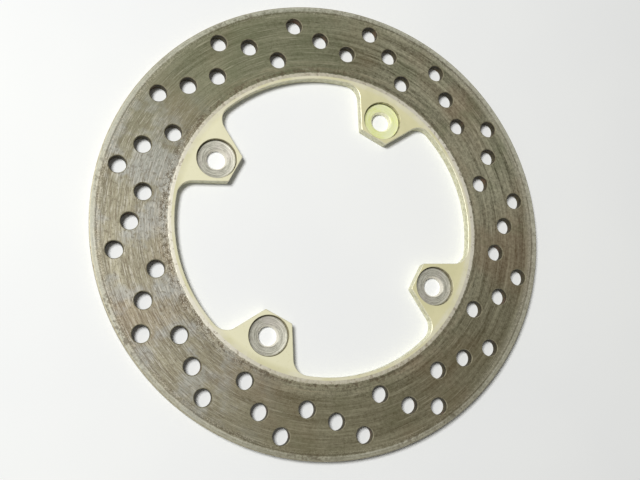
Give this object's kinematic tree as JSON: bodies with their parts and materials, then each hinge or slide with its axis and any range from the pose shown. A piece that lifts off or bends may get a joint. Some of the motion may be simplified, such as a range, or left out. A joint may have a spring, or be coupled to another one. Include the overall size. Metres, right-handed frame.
{
  "type": "motorcycle brake disc rotor",
  "caption": "Fixed rear brake disc for a motorcycle: drilled steel ring with inward mounting lugs, counterbored seats and stepped bushes, worn pad track.",
  "frame": {"origin": "centre of the disc on its hub-side face", "axes": "+Z along the spin axis, away from the hub; +X through the centre of one bolt hole"},
  "size_m": [0.22, 0.22, 0.005],
  "materials": {
    "disc_steel": "ground pad track worn by the pads, cream coating inside it",
    "bush_steel": "turned, bare, scuffed by the bolt head",
    "bush_yellow_zinc": "turned, yellow zinc, glossy"
  },
  "bodies": {
    "root": {"brake_disc": "disc_steel", "bolt_bush_1": "bush_yellow_zinc", "bolt_bush_2": "bush_steel", "bolt_bush_3": "bush_steel", "bolt_bush_4": "bush_steel"}
  },
  "joints": []
}
